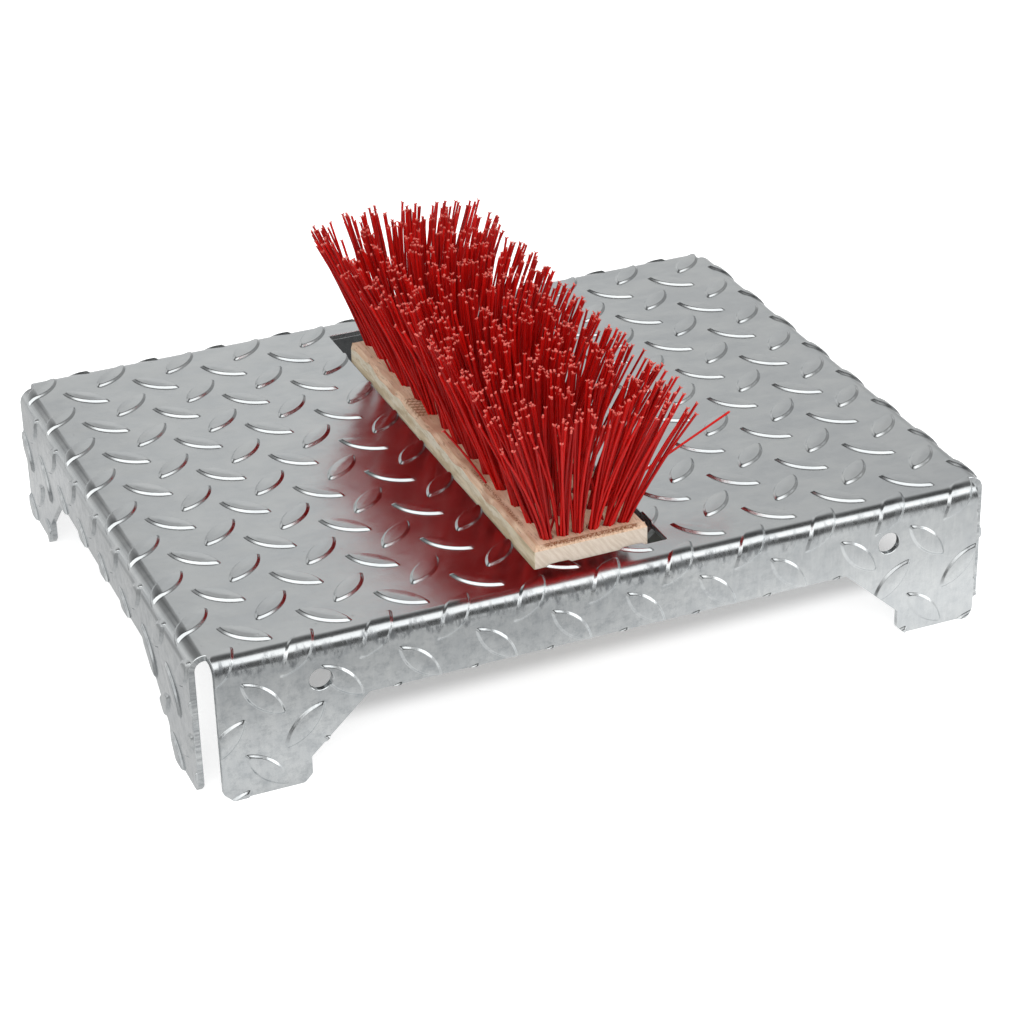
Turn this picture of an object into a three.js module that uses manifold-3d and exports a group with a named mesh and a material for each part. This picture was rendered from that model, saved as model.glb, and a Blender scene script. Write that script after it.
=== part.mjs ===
// Boot scraper: a platform folded from one galvanised tread sheet, with a street-broom head
// standing in a cut-out of its top. Two cranked straps under the top carry the broom head.
// Millimetres. X runs along the long side, Y from front to back and Z up, and the origin is
// on the ground under the middle of the platform.
import * as THREE from "three";
import { mergeVertices } from "three/addons/utils/BufferGeometryUtils.js";
import Module from "manifold-3d";

const wasm = await Module();
wasm.setup();

// Platform: outside sizes of the folded sheet, without the raised tears
const platformLength = 400;
const platformDepth = 315;
const platformHeight = 71;
const sheetThickness = 3;
const bendRadius = 7.5;
const bendSteps = 5;
const neutralLayer = 0.42;

// Skirts: the long ones are the front and the back, the short ones are the two ends
const longSkirtInset = 8.5;
const shortSkirtInset = 10.8;
const skirtEdgeHeight = 39.5;
const footWidth = 42;
const footSlopeWidth = 29;
const footRise = 12.8;
const footCornerCut = 4;

// Bolt holes through the front and back skirts
const boltHoleDiameter = 11;
const boltHoleFromEnd = 48.5;
const boltHoleHeight = 52;
const boltHoleSides = 16;

// Tread pattern: rolled tears at 45 degrees, every second one turned the other way
const tearPitch = 37.1;
const tearLength = 28.4;
const tearWidth = 10;
const tearHeight = 1.1;
const tearFlatShare = 0.75;
const tearRoot = 0.7;
const tearShiftX = 15.2;
const tearShiftY = 12.1;
const tearStepsFlat = 3;
const tearStepsBent = 5;

// Cut-out of the top, which the broom head stands in: its width, and the margin left to the
// front and to the back
const cutOutWidth = 67;
const cutOutMargin = 18.5;
const cutOutShiftX = 1.5;

// Broom head: a beech board pushed into the front left corner of the cut-out
const boardWidth = 57;
const boardLength = 244;
const boardThickness = 22;
const boardAboveTop = 10.7;
const boardGap = 0.4;
const boardBevel = 2.2;

// Tufts in straight rows across the board. The field is laid in parts, one behind another.
const tuftColumns = 6;
const tuftColumnPitch = 7.5;
const tuftRowPitch = 17.6;
const tuftHoleDiameter = 6;
const tuftFieldMargin = 1;
const tuftParts = [
  { name: "bristles_front", rows: 4 },
  { name: "bristles_front_middle", rows: 3 },
  { name: "bristles_back_middle", rows: 3 },
  { name: "bristles_back", rows: 4 },
];
const backingDepth = 2;
const backingGap = 0.3;

// Bristles: five thick ones stand for each tuft, and they fan out from the board
const bristleLength = 71;
const bristleWidth = 2;
const bristleRoot = 1;
const bristleShortest = 0.9;
const fanAcross = 23;
const fanAlong = 17;
const fanEndShare = 0.6;
const tipSpread = 0.31;
const unevenWaves = [12.9898, 78.233, 37.719];
const unevenReach = 43758.5453;
const tuftPattern = [
  [-1, -1],
  [1, -1],
  [0, 0],
  [-1, 1],
  [1, 1],
];

// Cranked straps of flat bar, welded to the underside of the top across the cut-out
const strapWidth = 30;
const strapThickness = 3;
const strapLap = 20;
const strapCrankGap = 3;
const strapWeldLeg = 3;
const strapFromBoardEnd = 42;

// Wood screws and washers that hold the board down on the straps
const screwSpacing = 30;
const screwShankDiameter = 4.2;
const screwLength = 18;
const screwPointLength = 4;
const screwHeadDiameter = 8.4;
const screwHeadHeight = 2.9;
const screwClearance = 0.4;
const screwSides = 12;
const screwHeadSteps = 3;
const washerDiameter = 12.5;
const washerThickness = 1.2;
const washerSides = 16;

// Air between pieces that rest on each other, how far a cutting body runs past what it cuts,
// and the distance at which two points are one
const seatGap = 0.1;
const cutPast = 5;
const weldDistance = 1e-4;

// Places that follow from the sizes
const topUnderside = platformHeight - sheetThickness;
const neutralRadius = bendRadius - sheetThickness * (1 - neutralLayer);
const bendArc = (Math.PI / 2) * neutralRadius;
const longSkirtHalf = platformLength / 2 - longSkirtInset;
const shortSkirtHalf = platformDepth / 2 - shortSkirtInset;
const cutOutLength = platformDepth - 2 * cutOutMargin;
const boardTop = platformHeight + boardAboveTop;
const boardBottom = boardTop - boardThickness;
const boardX = cutOutShiftX - cutOutWidth / 2 + boardGap + boardWidth / 2;
const boardY = -cutOutLength / 2 + boardGap + boardLength / 2;
const strapTop = boardBottom - seatGap;
const strapBottom = strapTop - strapThickness;
const washerTop = strapBottom - seatGap;
const screwHeadTop = washerTop - washerThickness - seatGap;
const screwHoleRadius = screwShankDiameter / 2 + screwClearance;
const tuftRows = tuftParts.reduce((sum, part) => sum + part.rows, 0);
const tuftEdge = tuftHoleDiameter / 2 + tuftFieldMargin;
const fieldHalfX = ((tuftColumns - 1) * tuftColumnPitch) / 2;
const fieldHalfY = ((tuftRows - 1) * tuftRowPitch) / 2;

// Finishes
const galvanised = { color: 0xb4b8ba, roughness: 0.32, metalness: 1 };
const flatBar = { color: 0x9a9fa1, roughness: 0.42, metalness: 1 };
const beech = { color: 0xcdb08c, roughness: 0.75, metalness: 0 };
const redBristle = { color: 0xb01612, roughness: 0.4, metalness: 0 };
const zincPlate = { color: 0xc3c6c8, roughness: 0.3, metalness: 1 };

const scraper = new THREE.Group();

// A closed solid from a geometry whose faces all point out
function solidOf(geometry) {
  const bare = geometry.index ? geometry.toNonIndexed() : geometry.clone();
  bare.deleteAttribute("normal");
  bare.deleteAttribute("uv");
  const merged = mergeVertices(bare, weldDistance);
  const vertProperties = merged.attributes.position.array;
  const triVerts = new Uint32Array(merged.index.array);
  return new wasm.Manifold(new wasm.Mesh({ numProp: 3, vertProperties, triVerts }));
}

// A closed solid, or several that lie apart, from triangles of three points each
function solidOfFaces(faces) {
  const positions = faces.flat().flatMap((point) => point.toArray());
  const geometry = new THREE.BufferGeometry();
  geometry.setAttribute("position", new THREE.Float32BufferAttribute(positions, 3));
  return solidOf(geometry);
}

// The geometry of a solid
function geometryOf(solid) {
  const mesh = solid.getMesh();
  const geometry = new THREE.BufferGeometry();
  geometry.setAttribute("position", new THREE.BufferAttribute(mesh.vertProperties, 3));
  geometry.setIndex(new THREE.BufferAttribute(mesh.triVerts, 1));
  geometry.computeVertexNormals();
  return geometry;
}

// Adds a named piece to the scraper
function addPiece(name, geometry, finish) {
  const mesh = new THREE.Mesh(geometry, new THREE.MeshStandardMaterial(finish));
  mesh.name = name;
  scraper.add(mesh);
  return mesh;
}

// A box between two corners
function boxSolid(lowX, lowY, lowZ, highX, highY, highZ) {
  const geometry = new THREE.BoxGeometry(highX - lowX, highY - lowY, highZ - lowZ);
  geometry.translate((lowX + highX) / 2, (lowY + highY) / 2, (lowZ + highZ) / 2);
  return solidOf(geometry);
}

// An outline drawn in X and Z, extruded along Y, half its length to each side
function extrudeAlongY(outline, length) {
  const options = { depth: length, bevelEnabled: false };
  const geometry = new THREE.ExtrudeGeometry(new THREE.Shape(outline), options);
  geometry.translate(0, 0, -length / 2);
  geometry.rotateX(Math.PI / 2);
  return geometry;
}

// The same turned by a quarter: an outline drawn in Y and Z, extruded along X
function extrudeAlongX(outline, length) {
  return extrudeAlongY(outline, length).rotateZ(Math.PI / 2);
}

// Points of an arc about (x, y), both ends included
function arcPoints(x, y, radius, from, to, steps) {
  const points = [];
  for (let i = 0; i <= steps; i++) {
    const angle = from + ((to - from) * i) / steps;
    points.push(new THREE.Vector2(x + radius * Math.cos(angle), y + radius * Math.sin(angle)));
  }
  return points;
}

// A straight hole or bar along Z
function barAlongZ(x, y, low, high, radius, sides) {
  const geometry = new THREE.CylinderGeometry(radius, radius, high - low, sides);
  geometry.rotateX(Math.PI / 2);
  geometry.translate(x, y, (low + high) / 2);
  return solidOf(geometry);
}

// Section of the sheet folded down at both ends of a span, with its skirts left too long
function foldedSection(span) {
  const centre = span / 2 - bendRadius;
  const height = platformHeight - bendRadius;
  const innerRadius = bendRadius - sheetThickness;
  const inside = span / 2 - sheetThickness;
  const quarter = Math.PI / 2;
  return [
    new THREE.Vector2(span / 2, -cutPast),
    ...arcPoints(centre, height, bendRadius, 0, quarter, bendSteps),
    ...arcPoints(-centre, height, bendRadius, quarter, 2 * quarter, bendSteps),
    new THREE.Vector2(-span / 2, -cutPast),
    new THREE.Vector2(-inside, -cutPast),
    ...arcPoints(-centre, height, innerRadius, 2 * quarter, quarter, bendSteps),
    ...arcPoints(centre, height, innerRadius, quarter, 0, bendSteps),
    new THREE.Vector2(inside, -cutPast),
  ];
}

// Where a place on the flat sheet comes to lie once the sheet is folded: how far across the
// span, and how high. rise is its height above the sheet's outer face.
function foldedPlace(across, rise, span) {
  const bendStart = span / 2 - bendRadius;
  const past = Math.abs(across) - bendStart;
  const side = Math.sign(across);
  const reach = bendRadius + rise;
  if (past <= 0) {
    return { across, up: platformHeight + rise };
  }
  if (past < bendArc) {
    const angle = past / neutralRadius;
    const up = platformHeight - bendRadius + reach * Math.cos(angle);
    return { across: side * (bendStart + reach * Math.sin(angle)), up };
  }
  const up = platformHeight - bendRadius - (past - bendArc);
  return { across: side * (bendStart + reach), up };
}

function foldOverY(x, y, rise) {
  const place = foldedPlace(y, rise, platformDepth);
  return new THREE.Vector3(x, place.across, place.up);
}

function foldOverX(x, y, rise) {
  const place = foldedPlace(x, rise, platformLength);
  return new THREE.Vector3(place.across, y, place.up);
}

// Half the width of a tear at a distance from its middle: two arcs that meet in its tips
function tearHalfWidth(distance) {
  const arcRadius = (tearLength ** 2 + tearWidth ** 2) / (4 * tearWidth);
  return Math.sqrt(arcRadius ** 2 - distance ** 2) - (arcRadius - tearWidth / 2);
}

// Faces of one tear, a lens with sloping flanks and a flat top, rooted inside the sheet.
// turn is 1 or -1 for the two ways it can lie, and fold takes it to the folded sheet.
function tearFaces(middle, turn, steps, fold) {
  const along = new THREE.Vector2(Math.SQRT1_2, Math.SQRT1_2 * turn);
  const sideways = new THREE.Vector2(-along.y, along.x);
  const at = (distance, offset, rise) =>
    fold(
      middle.x + along.x * distance + sideways.x * offset,
      middle.y + along.y * distance + sideways.y * offset,
      rise,
    );
  const rings = [];
  for (let i = 1; i < steps; i++) {
    const distance = tearLength * (i / steps - 0.5);
    const half = tearHalfWidth(distance);
    const rise = tearHeight * Math.sqrt((2 * half) / tearWidth);
    rings.push([
      at(distance, -half, -tearRoot),
      at(distance, half, -tearRoot),
      at(distance, half * tearFlatShare, rise),
      at(distance, -half * tearFlatShare, rise),
    ]);
  }
  const firstTip = at(-tearLength / 2, 0, -tearRoot);
  const lastTip = at(tearLength / 2, 0, -tearRoot);
  const first = rings[0];
  const last = rings[rings.length - 1];
  const faces = [];
  for (let k = 0; k < first.length; k++) {
    const next = (k + 1) % first.length;
    faces.push([firstTip, first[next], first[k]]);
    faces.push([lastTip, last[k], last[next]]);
    for (let i = 0; i + 1 < rings.length; i++) {
      faces.push([rings[i][k], rings[i][next], rings[i + 1][next]]);
      faces.push([rings[i][k], rings[i + 1][next], rings[i + 1][k]]);
    }
  }
  return faces;
}

// The tears whose middles pass a test, on the sheet folded one way over a span
function tearSolid(fold, span, acrossOf, isWanted) {
  const reach = (platformLength + platformDepth) / 2;
  const most = Math.ceil(reach / tearPitch) * 2;
  const halfTear = (tearLength * Math.SQRT1_2) / 2;
  const bendStart = span / 2 - bendRadius;
  const sheetEnd = bendStart + bendArc + platformHeight - bendRadius;
  const faces = [];
  for (let i = -most; i <= most; i++) {
    for (let j = -most; j <= most; j++) {
      const isEven = i % 2 === 0;
      if (isEven !== (j % 2 === 0)) continue;
      const x = tearShiftX + (i * tearPitch) / 2;
      const y = tearShiftY + (j * tearPitch) / 2;
      const middle = new THREE.Vector2(x, y);
      const across = Math.abs(acrossOf(middle));
      if (across - halfTear > sheetEnd || !isWanted(middle, halfTear)) continue;
      const isBent = across + halfTear > bendStart && across - halfTear < bendStart + bendArc;
      const steps = isBent ? tearStepsBent : tearStepsFlat;
      faces.push(...tearFaces(middle, isEven ? -1 : 1, steps, fold));
    }
  }
  return solidOfFaces(faces);
}

// Outlines of what is cut from a skirt: the gap between its feet and its two outer corners
function skirtCuts(skirtHalf) {
  const footEdge = skirtHalf - footWidth;
  const slopeTop = footEdge - footSlopeWidth;
  const rightOfGap = [
    new THREE.Vector2(slopeTop, skirtEdgeHeight),
    new THREE.Vector2(footEdge, footRise),
    new THREE.Vector2(footEdge, footCornerCut),
    new THREE.Vector2(footEdge + footCornerCut + cutPast, -cutPast),
  ];
  const mirrored = rightOfGap.map((point) => new THREE.Vector2(-point.x, point.y));
  const corner = [
    new THREE.Vector2(skirtHalf - footCornerCut - cutPast, -cutPast),
    new THREE.Vector2(skirtHalf + cutPast, -cutPast),
    new THREE.Vector2(skirtHalf + cutPast, footCornerCut + cutPast),
  ];
  const otherCorner = corner.map((point) => new THREE.Vector2(-point.x, point.y));
  return [[...rightOfGap, ...mirrored.reverse()], corner, otherCorner];
}

// The top with its front and back skirts
function longWay() {
  const bent = platformLength / 2 - bendRadius;
  const level = platformDepth / 2 - bendRadius;
  const isWanted = (middle, half) => {
    const isOverEnd = Math.abs(middle.x) + half > bent;
    return !isOverEnd || Math.abs(middle.y) + half > level;
  };
  const section = foldedSection(platformDepth);
  const sheet = solidOf(extrudeAlongY(section, 2 * (longSkirtHalf + cutPast)).rotateZ(Math.PI / 2));
  const tears = tearSolid(foldOverY, platformDepth, (middle) => middle.y, isWanted);
  const limitY = platformDepth / 2 + cutPast;
  const limitZ = platformHeight + cutPast;
  const limits = boxSolid(-longSkirtHalf, -limitY, 0, longSkirtHalf, limitY, limitZ);
  let solid = sheet.add(tears).intersect(limits);
  for (const outline of skirtCuts(longSkirtHalf)) {
    solid = solid.subtract(solidOf(extrudeAlongY(outline, 2 * limitY)));
  }
  for (const side of [-1, 1]) {
    const radius = boltHoleDiameter / 2;
    const hole = new THREE.CylinderGeometry(radius, radius, 2 * limitY, boltHoleSides);
    hole.translate(side * (longSkirtHalf - boltHoleFromEnd), 0, boltHoleHeight);
    solid = solid.subtract(solidOf(hole));
  }
  return solid;
}

// The top with its two end skirts
function shortWay() {
  const bent = platformLength / 2 - bendRadius;
  const isWanted = (middle, half) => Math.abs(middle.x) + half > bent;
  const section = foldedSection(platformLength);
  const sheet = solidOf(extrudeAlongY(section, 2 * (shortSkirtHalf + cutPast)));
  const tears = tearSolid(foldOverX, platformLength, (middle) => middle.x, isWanted);
  const limitX = platformLength / 2 + cutPast;
  const limitZ = platformHeight + cutPast;
  const limits = boxSolid(-limitX, -shortSkirtHalf, 0, limitX, shortSkirtHalf, limitZ);
  let solid = sheet.add(tears).intersect(limits);
  for (const outline of skirtCuts(shortSkirtHalf)) {
    solid = solid.subtract(solidOf(extrudeAlongX(outline, 2 * limitX)));
  }
  return solid;
}

// The platform: both foldings of the one sheet, with the cut-out through its top
function treadPlate() {
  const cutOut = boxSolid(
    cutOutShiftX - cutOutWidth / 2,
    -cutOutLength / 2,
    topUnderside - cutPast,
    cutOutShiftX + cutOutWidth / 2,
    cutOutLength / 2,
    platformHeight + cutPast,
  );
  return longWay().add(shortWay()).subtract(cutOut);
}

// Section of a board with bevelled top edges, standing on its underside
function boardSection(width) {
  const half = width / 2;
  return [
    new THREE.Vector2(-half, 0),
    new THREE.Vector2(half, 0),
    new THREE.Vector2(half, boardThickness - boardBevel),
    new THREE.Vector2(half - boardBevel, boardThickness),
    new THREE.Vector2(-half + boardBevel, boardThickness),
    new THREE.Vector2(-half, boardThickness - boardBevel),
  ];
}

// Where the screws go, seen from the board's middle
function screwPlaces() {
  const places = [];
  for (const front of [true, false]) {
    for (const left of [true, false]) {
      const y = (boardLength / 2 - strapFromBoardEnd) * (front ? -1 : 1);
      const x = (screwSpacing / 2) * (left ? -1 : 1);
      places.push({ x, y, name: `${front ? "front" : "back"}_${left ? "left" : "right"}` });
    }
  }
  return places;
}

// The board, bevelled round its top, bored for the screws and recessed for the tufts' backing
function brushBoard() {
  const lengthwise = solidOf(extrudeAlongY(boardSection(boardWidth), boardLength));
  const crosswise = solidOf(extrudeAlongX(boardSection(boardLength), boardWidth));
  const recessX = fieldHalfX + tuftEdge + backingGap;
  const recessY = fieldHalfY + tuftEdge + backingGap;
  const recessFloor = boardThickness - backingDepth - seatGap;
  const recessTop = boardThickness + cutPast;
  const recess = boxSolid(-recessX, -recessY, recessFloor, recessX, recessY, recessTop);
  let solid = lengthwise.intersect(crosswise).subtract(recess);
  const boreTop = screwHeadTop + screwLength + screwClearance - boardBottom;
  for (const { x, y } of screwPlaces()) {
    const bore = barAlongZ(x, y, -cutPast, boreTop, screwHoleRadius, screwSides);
    solid = solid.subtract(bore);
  }
  return solid;
}

// Faces of one bristle: an upright prism of three sides, leaning from its base to its tip
function bristleFaces(base, tip) {
  const ring = (middle) =>
    arcPoints(middle.x, middle.y, bristleWidth / 2, 0, 2 * Math.PI, 3)
      .slice(0, 3)
      .map((point) => new THREE.Vector3(point.x, point.y, middle.z));
  const low = ring(base);
  const high = ring(tip);
  const faces = [
    [low[2], low[1], low[0]],
    [high[0], high[1], high[2]],
  ];
  for (let k = 0; k < low.length; k++) {
    const next = (k + 1) % low.length;
    faces.push([low[k], low[next], high[next]]);
    faces.push([low[k], high[next], high[k]]);
  }
  return faces;
}

// A repeatable number from 0 to 1 for each bristle
function unevenness(column, row, strand) {
  const [byColumn, byRow, byStrand] = unevenWaves;
  const turn = column * byColumn + row * byRow + strand * byStrand;
  const wave = Math.sin(turn) * unevenReach;
  return wave - Math.floor(wave);
}

// The bristles of some rows of tufts, rising from the slice of the board's face they stand in.
// Heights are above the board's top.
function tuftPart(firstRow, rows) {
  const lastRow = firstRow + rows - 1;
  const rowY = (row) => row * tuftRowPitch - fieldHalfY;
  const low = firstRow === 0 ? -fieldHalfY - tuftEdge : rowY(firstRow - 0.5) + backingGap / 2;
  const isLast = lastRow === tuftRows - 1;
  const high = isLast ? fieldHalfY + tuftEdge : rowY(lastRow + 0.5) - backingGap / 2;
  const backingX = fieldHalfX + tuftEdge;
  const backing = boxSolid(-backingX, low, -backingDepth, backingX, high, 0);
  const rootSpread = (tuftHoleDiameter - bristleWidth) / 2 / Math.SQRT2;
  const tipPitchX = tuftColumnPitch + (2 * fanAcross) / (tuftColumns - 1);
  const faces = [];
  for (let row = firstRow; row <= lastRow; row++) {
    for (let column = 0; column < tuftColumns; column++) {
      const x = column * tuftColumnPitch - fieldHalfX;
      const y = rowY(row);
      const shareX = x / fieldHalfX;
      const shareY = y / fieldHalfY;
      const leanY = shareY * (1 - fanEndShare) + shareY ** 3 * fanEndShare;
      tuftPattern.forEach(([offX, offY], strand) => {
        const base = new THREE.Vector3(x + offX * rootSpread, y + offY * rootSpread, -bristleRoot);
        const tipX = x + fanAcross * shareX + offX * tipSpread * tipPitchX;
        const tipY = y + fanAlong * leanY + offY * tipSpread * tuftRowPitch;
        const shortening = (1 - bristleShortest) * unevenness(column, row, strand);
        const length = bristleLength * (1 - shortening);
        const reach = Math.hypot(tipX - base.x, tipY - base.y);
        const tip = new THREE.Vector3(tipX, tipY, Math.sqrt(length ** 2 - reach ** 2));
        faces.push(...bristleFaces(base, tip));
      });
    }
  }
  return backing.add(solidOfFaces(faces));
}

// Outline of a bent strip: its upper face, the same line one thickness lower, and a weld
// fillet at each end under the sheet that it laps
function strapOutline() {
  const seatHalf = cutOutWidth / 2 + strapCrankGap;
  const lapTop = topUnderside - seatGap;
  const lapStart = seatHalf + lapTop - strapTop;
  const lapEnd = lapStart + strapLap;
  const miter = strapThickness * Math.tan(Math.PI / 8);
  const right = [
    new THREE.Vector2(seatHalf, strapTop),
    new THREE.Vector2(lapStart, lapTop),
    new THREE.Vector2(lapEnd + strapWeldLeg, lapTop),
    new THREE.Vector2(lapEnd, lapTop - strapThickness),
    new THREE.Vector2(lapStart + miter, lapTop - strapThickness),
    new THREE.Vector2(seatHalf + miter, strapBottom),
  ];
  const left = right.map((point) => new THREE.Vector2(-point.x, point.y));
  return [...right, ...left.reverse()];
}

// A strap with its two screw holes. Its middle is under the cut-out's middle.
function brushStrap() {
  let solid = solidOf(extrudeAlongY(strapOutline(), strapWidth));
  for (const side of [-1, 1]) {
    const x = boardX - cutOutShiftX + (side * screwSpacing) / 2;
    const low = strapBottom - cutPast;
    const high = strapTop + cutPast;
    solid = solid.subtract(barAlongZ(x, 0, low, high, screwHoleRadius, screwSides));
  }
  return solid;
}

// A round-head wood screw, point up, with the underside of its head at height 0
function strapScrew() {
  const shank = screwShankDiameter / 2;
  const head = screwHeadDiameter / 2;
  const dome = arcPoints(0, 0, 1, -Math.PI / 2, 0, screwHeadSteps);
  const profile = [
    ...dome.map((point) => new THREE.Vector2(point.x * head, point.y * screwHeadHeight)),
    new THREE.Vector2(shank, 0),
    new THREE.Vector2(shank, screwLength - screwPointLength),
    new THREE.Vector2(0, screwLength),
  ];
  return new THREE.LatheGeometry(profile, screwSides).rotateX(Math.PI / 2);
}

// A flat washer whose upper face is at height 0
function strapWasher() {
  const outer = washerDiameter / 2;
  const profile = [
    new THREE.Vector2(screwHoleRadius, -washerThickness),
    new THREE.Vector2(outer, -washerThickness),
    new THREE.Vector2(outer, 0),
    new THREE.Vector2(screwHoleRadius, 0),
    new THREE.Vector2(screwHoleRadius, -washerThickness),
  ];
  return new THREE.LatheGeometry(profile, washerSides).rotateX(Math.PI / 2);
}

addPiece("tread_plate", geometryOf(treadPlate()), galvanised);

const board = addPiece("brush_board", geometryOf(brushBoard()), beech);
board.position.set(boardX, boardY, boardBottom);

let firstRow = 0;
for (const { name, rows } of tuftParts) {
  const bristles = addPiece(name, geometryOf(tuftPart(firstRow, rows)), redBristle);
  bristles.position.set(boardX, boardY, boardTop);
  firstRow += rows;
}

for (const [name, side] of [
  ["brush_strap_front", -1],
  ["brush_strap_back", 1],
]) {
  const strap = addPiece(name, geometryOf(brushStrap()), flatBar);
  strap.position.set(cutOutShiftX, boardY + side * (boardLength / 2 - strapFromBoardEnd), 0);
}

for (const { x, y, name } of screwPlaces()) {
  const screw = addPiece(`strap_screw_${name}`, strapScrew(), zincPlate);
  screw.position.set(boardX + x, boardY + y, screwHeadTop);
  const washer = addPiece(`strap_washer_${name}`, strapWasher(), zincPlate);
  washer.position.set(boardX + x, boardY + y, washerTop);
}

export default scraper;
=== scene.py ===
import math
import random

import bpy
import numpy as np
from mathutils import Matrix, Vector
from mathutils.geometry import delaunay_2d_cdt


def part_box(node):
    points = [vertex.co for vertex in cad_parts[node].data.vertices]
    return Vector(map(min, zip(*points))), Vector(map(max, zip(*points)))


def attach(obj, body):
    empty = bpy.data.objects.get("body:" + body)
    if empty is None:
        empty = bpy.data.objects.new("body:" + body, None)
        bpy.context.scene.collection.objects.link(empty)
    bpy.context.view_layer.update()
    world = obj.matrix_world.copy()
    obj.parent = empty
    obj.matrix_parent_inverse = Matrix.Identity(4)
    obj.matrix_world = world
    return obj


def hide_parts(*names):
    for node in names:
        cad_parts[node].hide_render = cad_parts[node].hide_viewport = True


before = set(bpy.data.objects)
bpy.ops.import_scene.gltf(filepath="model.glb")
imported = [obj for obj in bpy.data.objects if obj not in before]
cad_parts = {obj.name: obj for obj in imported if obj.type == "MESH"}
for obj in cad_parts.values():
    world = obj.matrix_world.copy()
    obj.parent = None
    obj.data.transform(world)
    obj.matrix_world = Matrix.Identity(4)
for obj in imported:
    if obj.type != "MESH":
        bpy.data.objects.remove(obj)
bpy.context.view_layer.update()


# Tread plate
# One blank of 3 mm steel tread plate, laser cut with its feet, bolt holes and dirt hole, then
# folded down along its four sides and hot-dip galvanised. The rolled tears stand proud of it,
# every second one turned the other way.
mm = 0.001
plate_length = 400 * mm
plate_depth = 315 * mm
plate_height = 71 * mm
sheet = 3 * mm
bend_radius = 7.5 * mm
neutral_radius = 5.76 * mm
bend_arc = neutral_radius * math.pi / 2
bend_start = np.array([plate_length, plate_depth]) / 2 - bend_radius
blank_half = bend_start + bend_arc + plate_height - bend_radius

long_skirt_half = plate_length / 2 - 8.5 * mm
short_skirt_half = plate_depth / 2 - 10.8 * mm
skirt_edge_height = 39.5 * mm
foot_width = 42 * mm
foot_slope = 29 * mm
foot_rise = 12.8 * mm
foot_corner = 4 * mm
bolt_hole_radius = 5.5 * mm
bolt_hole_along = plate_length / 2 - 57 * mm
bolt_hole_height = 52 * mm
dirt_hole_low = np.array([-32, -139]) * mm
dirt_hole_high = np.array([35, 139]) * mm
cut_corner_radius = 0.9 * mm
cut_edge_round = 0.28 * mm

tear_pitch = 37.1 * mm
tear_length = 28.4 * mm
tear_width = 10 * mm
tear_height = 1.05 * mm
tear_shift = np.array([15.2, 12.1]) * mm
tear_flank_out = 0.4 * mm
tear_flank_in = 1.2 * mm
tear_foot_share = 0.2
tear_crest_share = 0.3
tear_tip_round = 1.5 * mm
tear_rings = 7
tear_dome = 0.28 * mm
tear_dome_ring = 3.4 * mm
tear_ring_points = 34
tear_search_steps = 24
tear_search_reach = 1.4
bend_lines = 16
bolt_hole_points = 40
weld_distance = 1e-7


def circle(middle, radius, points):
    """A closed ring of points, clockwise, as a hole's edge runs."""
    turns = -np.arange(points) * 2 * math.pi / points
    return np.array(middle) + radius * np.stack([np.cos(turns), np.sin(turns)], axis=1)


def rounded(corners, radius, steps=4):
    """A closed outline with each corner rounded."""
    corners = np.array(corners)
    points = []
    for k, corner in enumerate(corners):
        to_last = corners[k - 1] - corner
        to_next = corners[(k + 1) % len(corners)] - corner
        start = corner + to_last * radius / np.linalg.norm(to_last)
        end = corner + to_next * radius / np.linalg.norm(to_next)
        for share in np.linspace(0, 1, steps + 1):
            to_corner = start + (corner - start) * share
            from_corner = corner + (end - corner) * share
            points.append(to_corner + (from_corner - to_corner) * share)
    return np.array(points)


def inset(loop, distance):
    """A closed outline moved to its left, into the material."""
    ahead = np.roll(loop, -1, axis=0) - loop
    ahead /= np.linalg.norm(ahead, axis=1)[:, None]
    left = np.stack([-ahead[:, 1], ahead[:, 0]], axis=1)
    last = np.roll(left, 1, axis=0)
    return loop + distance * (left + last) / (1 + (left * last).sum(axis=1))[:, None]


def skirt_outline(half):
    """Corners of one half of a skirt with its foot, as distance along and height."""
    foot_side = half - foot_width
    return [
        (foot_side - foot_slope, skirt_edge_height),
        (foot_side, foot_rise),
        (foot_side, foot_corner),
        (foot_side + foot_corner, 0),
        (half - foot_corner, 0),
        (half, foot_corner),
    ]


def blank_outline():
    """The flat blank's outline, anticlockwise: a quarter of it, mirrored."""
    short = [(blank_half[0] - height, along) for along, height in skirt_outline(short_skirt_half)]
    long = [(along, blank_half[1] - height) for along, height in skirt_outline(long_skirt_half)]
    quarter = short + [(long_skirt_half, short_skirt_half)] + long[::-1]
    corners = quarter + [(-u, v) for u, v in quarter[::-1]]
    return corners + [(-u, -v) for u, v in corners]


def bent(past, rise):
    """Where a point past the start of a bend gets to, across and up, once the bend is made."""
    angle = np.clip(past / neutral_radius, 0, math.pi / 2)
    radius = bend_radius + rise
    across = np.minimum(past, 0) + radius * np.sin(angle)
    up = plate_height - bend_radius + radius * np.cos(angle) - np.maximum(past - bend_arc, 0)
    return across, up


def folded(flat, rise):
    """Points of the blank, with their rise above its face, in their place on the folded sheet."""
    across_u, up_u = bent(abs(flat[:, 0]) - bend_start[0], rise)
    across_v, up_v = bent(abs(flat[:, 1]) - bend_start[1], rise)
    x = np.sign(flat[:, 0]) * (bend_start[0] + across_u)
    y = np.sign(flat[:, 1]) * (bend_start[1] + across_v)
    return np.stack([x, y, np.where(abs(flat[:, 1]) > bend_start[1], up_v, up_u)], axis=1)


def tear_depth(along, across):
    """How far inside the outline of a tear a point is: two arcs that meet in its tips."""
    radius = (tear_length**2 + tear_width**2) / (4 * tear_width)
    offset = radius - tear_width / 2
    one = np.hypot(along, across + offset)
    other = np.hypot(along, across - offset)
    blend = np.maximum(tear_tip_round - abs(one - other), 0) / tear_tip_round
    return radius - np.maximum(one, other) - blend**2 * tear_tip_round / 4


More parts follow.
